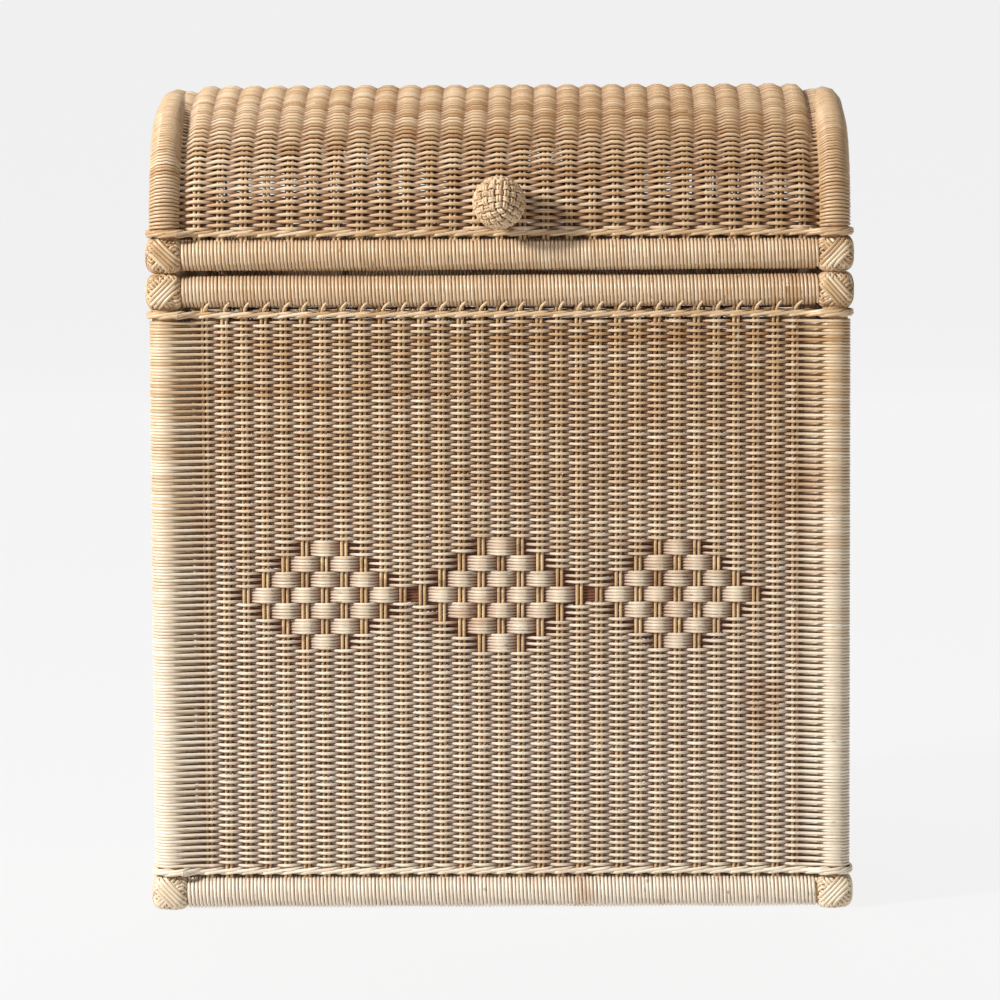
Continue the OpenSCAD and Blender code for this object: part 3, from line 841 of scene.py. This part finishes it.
def band_strand(z, first, climb):
    """One strand of a band, first of a turn behind the strand before it."""
    line, lengths = [], []
    for step in range(BAND_SAMPLES + 1):
        share = step / BAND_SAMPLES
        s = share * PLAN_LENGTHS[-1]
        i = min(int(np.searchsorted(PLAN_LENGTHS, s, "right")) - 1, len(PLAN) - 2)
        part = (s - PLAN_LENGTHS[i]) / max(1e-9, PLAN_LENGTHS[i + 1] - PLAN_LENGTHS[i])
        place = PLAN[i][0].lerp(PLAN[i + 1][0], part)
        out = PLAN[i][1].lerp(PLAN[i + 1][1], part).normalized()
        swing = PLAN[i][2] + (PLAN[i + 1][2] - PLAN[i][2]) * part
        phase = (share * BAND_TURNS + first) % 1.0
        outside = 0.5 + 0.5 * math.tanh(6 * (math.cos(2 * math.pi * (phase - 0.36)) + 0.42))
        rise = -1 + 2 * phase / 0.74 if phase < 0.74 else 1 - 2 * (phase - 0.74) / 0.26
        line.append(place + out * swing * (2 * outside - 1) + Vector((0, 0, z + climb * rise)))
        lengths.append(s)
    return line, lengths


def twined_band(name, body, node, z, paint, keep=lambda p: True):
    lines, strand, along = [], [], []
    for number in range(3):
        line, lengths = band_strand(z, number / 3, 0.0019)
        run = []
        for point, length in zip(line + [None], lengths + [0]):
            if point is not None and keep(point):
                run.append((point, length))
            elif run:
                if len(run) > 3:
                    lines.append([p for p, _ in run])
                    strand += [number / 3 + 0.1] * len(run)
                    along += [s for _, s in run]
                run = []
    return grow(PLAIN, name, body, "weaving_reed", [node], reed=REED_R * 1.25, material=paint,
                guide=guide("band", *lines, strand=strand, along=along))


def clear_of_hinges(point):
    return point.y < MID_Y or abs(abs(point.x) - HINGE_X) > HINGE_W / 2 + 0.001


HINGE_X, HINGE_W = middle("hinge_lashing_right").x, size("hinge_lashing_right").x
twined_band("lower_band_strands", "trunk", "lower_band", middle("lower_band").z, WALL_REED)
twined_band("upper_band_strands", "trunk", "upper_band", middle("upper_band").z + 0.0016, WALL_REED)
twined_band("lid_band_strands", "lid", "lid_band", middle("lid_band").z, LID_REED, clear_of_hinges)


# %% [markdown]
# ## Hinge lashings
#
# A reed goes round the back rails of the body and the lid, turn beside turn. It is drawn as a
# long loop round both poles; the lid turns about the line on which both rims lie.


# %% Hinges
def hinge_line(x, turns=16):
    radius = WINDING_R + WRAP_R + REED_R + 0.0002
    straight = LID_Z - TOP_Z
    around = 2 * straight + 2 * math.pi * radius
    line, samples = [], 28
    for step in range(turns * samples + 1):
        s = (step / samples % 1.0) * around
        if s < straight:
            spot = (radius, TOP_Z + s)
        elif s < straight + math.pi * radius:
            angle = (s - straight) / radius
            spot = (radius * math.cos(angle), LID_Z + radius * math.sin(angle))
        elif s < 2 * straight + math.pi * radius:
            spot = (-radius, LID_Z - (s - straight - math.pi * radius))
        else:
            angle = (s - 2 * straight - math.pi * radius) / radius
            spot = (-radius * math.cos(angle), TOP_Z - radius * math.sin(angle))
        across = (step / (turns * samples) - 0.5) * (HINGE_W - 2 * REED_R)
        line.append((x + across, BACK + spot[0], spot[1]))
    return line


for side, sign in (("left", -1), ("right", 1)):
    line = hinge_line(sign * HINGE_X)
    count = len(line)
    grow(PLAIN, f"hinge_reed_{side}", "trunk", "binding_cane", [f"hinge_lashing_{side}"], reed=REED_R,
         sides=8, material=PALE_REED,
         guide=guide("hinge", line, strand=[0.3 + 0.2 * sign] * count,
                     along=[i * 0.0035 for i in range(count)]))


# %% [markdown]
# Every pair of stakes ends in a tail that is bent up in front of the rim and pushed in between
# the turns of its wrapping.

# %% Stake tails under the rim
TAIL = [(0.0, 0.0030, -0.0150), (0.0003, 0.0066, -0.0124), (0.0014, 0.0094, -0.0104),
        (0.0031, 0.0103, -0.0088), (0.0046, 0.0094, -0.0076)]  # along, outwards, above the rail's middle


def stake_tails():
    rng = random.Random(81)
    lines = []
    for side, ((x, y), way) in SIDES.items():
        kind = "wall" if side in ("front", "back") else "side"
        along, out = Vector(way), Vector((way[1], -way[0], 0))
        for pair in range(GAPS[kind] + 1):
            place = (2 * pair / GAPS[kind] - 1) * SPAN[kind] + rng.uniform(-0.0008, 0.0008)
            if side == "back" and abs(abs(place) - HINGE_X) < HINGE_W / 2 + PAIR:
                continue
            stretch = rng.uniform(0.7, 1.15)
            foot = Vector((x, y, TOP_Z)) + along * place
            lines.append([foot + along * (a * stretch) + out * o + Vector((0, 0, z)) for a, o, z in TAIL])
    count = len(TAIL)
    strand = [rng.random() for line in lines for _ in line]
    return grow(PLAIN, "stake_tails", "trunk", "stake_reed", reed=0.00095, sides=6, material=PALE_REED,
                guide=guide("tails", *lines, strand=strand,
                            along=[i % count * 0.003 for i in range(len(strand))]))


stake_tails()


# %% [markdown]
# ## Corner lashings
#
# Flat cane hides the joint of three poles. Strips lie on every face of the joint but the one
# that the upright leaves by: eleven side by side along one diagonal, and five that cross them
# along the other. The joint under them is a block with round edges, and each strip lies on it.


# %% Strips of cane on a rounded block
CANE_W, CANE_T = 0.0026, 0.0008
CANE_STEP, CROSSING_STEP = 0.00255, 0.0026  # from strip to strip, below and above
STRIP_TURN = math.radians(64)  # a strip goes this far round from the middle of its face
STRIP_DIVE = 0.0016  # its ends sink this deep, under the strips of the next face
ABOVE_FLOOR = 0.0002
BLOCK_R, BLOCK_POWER = 0.0120, 3.4  # a higher power makes the block squarer
STRIP_POINTS = 18
PROFILE = [(-0.5, -0.6), (-0.44, 0.7), (0.0, 1.0), (0.44, 0.7), (0.5, -0.6)]


def on_block(start, ahead, radius):
    """The point of the block's surface that lies ahead of a start inside the block."""
    near, far = 0.0, 2 * radius
    for _ in range(22):
        reach = (near + far) / 2
        spot = start + ahead * reach
        if sum(abs(c / radius) ** BLOCK_POWER for c in spot) > 1:
            far = reach
        else:
            near = reach
    return start + ahead * near


def cane_strip(sheet, centre, face, along, shift, radius, strand, layers):
    """One strip over a face of the block; its ends dive under the strips of the next faces."""
    across = face.cross(along)
    rings = []
    for i in range(STRIP_POINTS):
        angle = STRIP_TURN * (2 * i / (STRIP_POINTS - 1) - 1)
        ahead = face * math.cos(angle) + along * math.sin(angle)
        end = max(0.0, abs(angle) / STRIP_TURN - 0.85) * 6
        spot = on_block(across * shift, ahead, radius - STRIP_DIVE * end)
        steep = [math.copysign(abs(c / radius) ** (BLOCK_POWER - 1), c) for c in spot]
        out = Vector(steep).normalized()
        ring = []
        for u, v in PROFILE:
            place = centre + spot + across * (u * CANE_W) + out * (v * CANE_T)
            place.z = max(place.z, ABOVE_FLOOR)
            vert = sheet.verts.new(place)
            vert[layers[0]], vert[layers[1]], vert[layers[2]] = strand, i * 0.0015, u + 0.5
            ring.append(vert)
        rings.append(ring)
    for a, b in zip(rings, rings[1:]):
        for j in range(len(PROFILE)):
            k = (j + 1) % len(PROFILE)
            sheet.faces.new((a[j], a[k], b[k], b[j]))
    sheet.faces.new(rings[0])
    sheet.faces.new(rings[-1][::-1])


def corner_lashing(name, body, node, z, up, seed):
    """Lashings of all four corners of one ring of rails; up is the way that the upright goes."""
    rng = random.Random(seed)
    mesh = bpy.data.meshes.new(name)
    sheet = bmesh.new()
    layers = [sheet.verts.layers.float.new(label) for label in ("strand", "along", "around")]
    for place in CORNERS:
        post = middle(f"post_{place}")
        centre = Vector((post.x, post.y, z))
        out_x = Vector((math.copysign(1, post.x), 0, 0))
        out_y = Vector((0, math.copysign(1, post.y - MID_Y), 0))
        out_z = Vector((0, 0, -up))
        for face, u, v in ((out_y, out_x, out_z), (out_x, out_y, out_z), (out_z, out_x, out_y),
                           (-out_x, out_y, out_z), (-out_y, out_x, out_z)):
            lean = rng.uniform(-0.12, 0.12)
            first, second = (u + v * (1 + lean)).normalized(), (u * (1 + lean) - v).normalized()
            for step in range(-5, 6):
                shift = step * CANE_STEP + rng.uniform(-0.0002, 0.0002)
                cane_strip(sheet, centre, face, first, shift, BLOCK_R, rng.random(), layers)
            for step in (-2, -1, 0, 1, 2):
                cane_strip(sheet, centre, face, second, step * CROSSING_STEP,
                           BLOCK_R + CANE_T * 0.9, rng.random(), layers)
    bmesh.ops.recalc_face_normals(sheet, faces=sheet.faces)
    for face in sheet.faces:
        face.smooth = True
    sheet.to_mesh(mesh)
    sheet.free()
    mesh.materials.append(CANE)
    return settle(bpy.data.objects.new(name, mesh), body, "binding_cane", [node])


corner_lashing("bottom_lashing_strips", "trunk", "bottom_corner_lashings", BOTTOM_Z, 1, 71)
corner_lashing("top_lashing_strips", "trunk", "top_corner_lashings", TOP_Z, -1, 72)
corner_lashing("lid_lashing_strips", "lid", "lid_corner_lashings", LID_Z, 1, 73)


# %% [markdown]
# ## The knob
#
# The knob is plaited all round from three sets of rings. Think of a cube blown up to a ball: on
# each of its faces two sets cross each other, over and under in turn, and five rings of a set
# stand side by side. Each ring is a pair of thin reeds. A corner of the cube faces outwards.

# %% Knob cover
KNOB_RINGS, KNOB_REED_R, KNOB_RISE = 5, 0.00102, 0.0021
KNOB_STEP = math.pi / 2 / KNOB_RINGS  # turn from one ring to the next
KNOB_POINTS = 144  # points in a ring
knob_centre = (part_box("knob_cover")[0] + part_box("knob_cover")[1]) / 2
knob_r = size("knob_cover").x / 2
corner = Vector((0.12, -1.0, -0.16)).normalized()
knob_turn = Vector((1, 1, 1)).rotation_difference(corner).to_matrix()


def knob_ring(axis, number, offset, low):
    """One reed of a ring round an axis of the cube; offset is its place in the pair."""
    sign = 1 if axis == 0 else -1
    beside = math.tan((number - (KNOB_RINGS - 1) / 2) * KNOB_STEP + offset / knob_r)
    line = []
    for step in range(KNOB_POINTS + 1):
        t = step / KNOB_POINTS * math.tau
        way = [0.0, 0.0, 0.0]
        way[axis] = beside * max(abs(math.cos(t)), abs(math.sin(t)))
        way[(axis + 1) % 3], way[(axis + 2) % 3] = (math.sin(t), math.cos(t))[::sign]
        weave = sign * math.cos(math.pi * (number + t / KNOB_STEP + (KNOB_RINGS - 1) / 2))
        radius = knob_r - KNOB_REED_R + KNOB_RISE * (weave - 1) * 0.9 - low
        line.append(knob_centre + knob_turn @ Vector(way).normalized() * radius)
    return line


rng = random.Random(91)
lines = [knob_ring(axis, number, side * KNOB_REED_R * 1.05, rng.uniform(0, 0.0005))
         for axis in range(3) for number in range(KNOB_RINGS) for side in (-1, 1)]
strand = [value for line in lines for value in [rng.random()] * len(line)]
along = [i * 0.00084 for line in lines for i in range(len(line))]
grow(PLAIN, "knob_weave", "lid", "binding_cane", ["knob_cover"], reed=KNOB_REED_R, material=PALE_REED,
     guide=guide("knob", *lines, strand=strand, along=along))


# %% [markdown]
# ## Parts of the frame that stay
#
# Poles, stakes and nails have their true shape already, and only take their finish here.

# %% Finishes for the frame's own parts
for node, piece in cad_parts.items():
    if "nails" in node:
        paint = STEEL
    elif "stakes" in node or node == "knob_tie":
        paint = STAKE
    elif node == "knob_core":
        # the knob's core takes the dark painted shade for the gaps in the knob
        paint = CORE_SHADE
    else:
        paint = POLE
    piece.data.materials.clear()
    piece.data.materials.append(paint)
print("finished", len(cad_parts), "parts of the frame")


# %% [markdown]
# ## Floor, light and camera
#
# The trunk stands on a plain pale floor in soft studio light, mostly from the left.

# %% Floor and backdrop
def paper():
    """Grey paper that also glows a little, so that it stays even behind the trunk."""
    made, f, shader = material("studio_paper", 0.9)
    place = f.node("ShaderNodeTexCoord").other("Object")
    grain = f.noise(place, 40.0)
    shade = ramp(f, f.noise(place, 3.0), (0.0, tone(46, 46, 46)), (1.0, tone(48, 48, 48)))
    colour_and_bump(f, shader, shade, grain, 0.02, 0.001)
    shader.inputs["Emission Color"].default_value = (1.0, 1.0, 1.0, 1.0)
    shader.inputs["Emission Strength"].default_value = 0.85
    return made


SHEET_HALF = 7.0  # half width of the paper, how far it comes forward, and how high it goes
BEND_Y, BEND_R = 5.0, 1.5  # where the floor starts to turn up, and how wide the curve is


def studio():
    """A floor that turns up into a backdrop with a wide curve."""
    profile = [(-SHEET_HALF, 0.0), (BEND_Y, 0.0)]
    for step in range(1, 13):
        angle = step / 12 * math.pi / 2
        profile.append((BEND_Y + BEND_R * math.sin(angle), BEND_R - BEND_R * math.cos(angle)))
    profile.append((BEND_Y + BEND_R, SHEET_HALF))
    sheet = bmesh.new()
    rows = [[sheet.verts.new((x, y, z)) for x in (-SHEET_HALF, SHEET_HALF)] for y, z in profile]
    for a, b in zip(rows, rows[1:]):
        sheet.faces.new((a[0], a[1], b[1], b[0])).smooth = True
    mesh = bpy.data.meshes.new("studio")
    sheet.to_mesh(mesh)
    sheet.free()
    mesh.materials.append(paper())
    made = bpy.data.objects.new("studio", mesh)
    bpy.context.scene.collection.objects.link(made)


studio()


# %% Light
def area_light(name, place, target, width, height, power):
    light = bpy.data.lights.new(name, "AREA")
    light.shape = "RECTANGLE"
    light.size, light.size_y = width, height
    light.energy = power
    made = bpy.data.objects.new(name, light)
    made.location = place
    made.rotation_euler = (Vector(target) - Vector(place)).to_track_quat("-Z", "Y").to_euler()
    bpy.context.scene.collection.objects.link(made)


area_light("key", (-2.9, -1.9, 2.1), (0, 0, 0.3), 0.45, 0.6, 205)
area_light("fill", (2.2, -2.8, 1.0), (0, 0, 0.3), 1.2, 1.2, 6)
area_light("top", (-0.2, -0.3, 2.8), (0, 0, 0), 1.0, 1.0, 20)
world = bpy.data.worlds.new("studio_air")
bpy.context.scene.world = world
world.use_nodes = True
world.node_tree.nodes["Background"].inputs["Color"].default_value = (1, 1, 1, 1)
world.node_tree.nodes["Background"].inputs["Strength"].default_value = 0.06
bpy.context.scene.view_settings.view_transform = "Standard"  # tones as given, with no film curve

# %% Camera
camera = bpy.data.cameras.new("camera")
camera.sensor_width, camera.lens = 36.0, 36.0 * 4733 / 1000
camera.clip_end = 50.0
eye = bpy.data.objects.new("camera", camera)
pitch, yaw, roll = math.radians(5.08), math.radians(-0.50), math.radians(-0.26)
ahead = Vector((math.sin(yaw) * math.cos(pitch), math.cos(yaw) * math.cos(pitch), -math.sin(pitch)))
turn = ahead.to_track_quat("-Z", "Y").to_matrix().to_4x4()
eye.matrix_world = Matrix.Translation((0.029, -3.5, 0.593)) @ turn @ Matrix.Rotation(roll, 4, "Z")
bpy.context.scene.collection.objects.link(eye)
bpy.context.scene.camera = eye
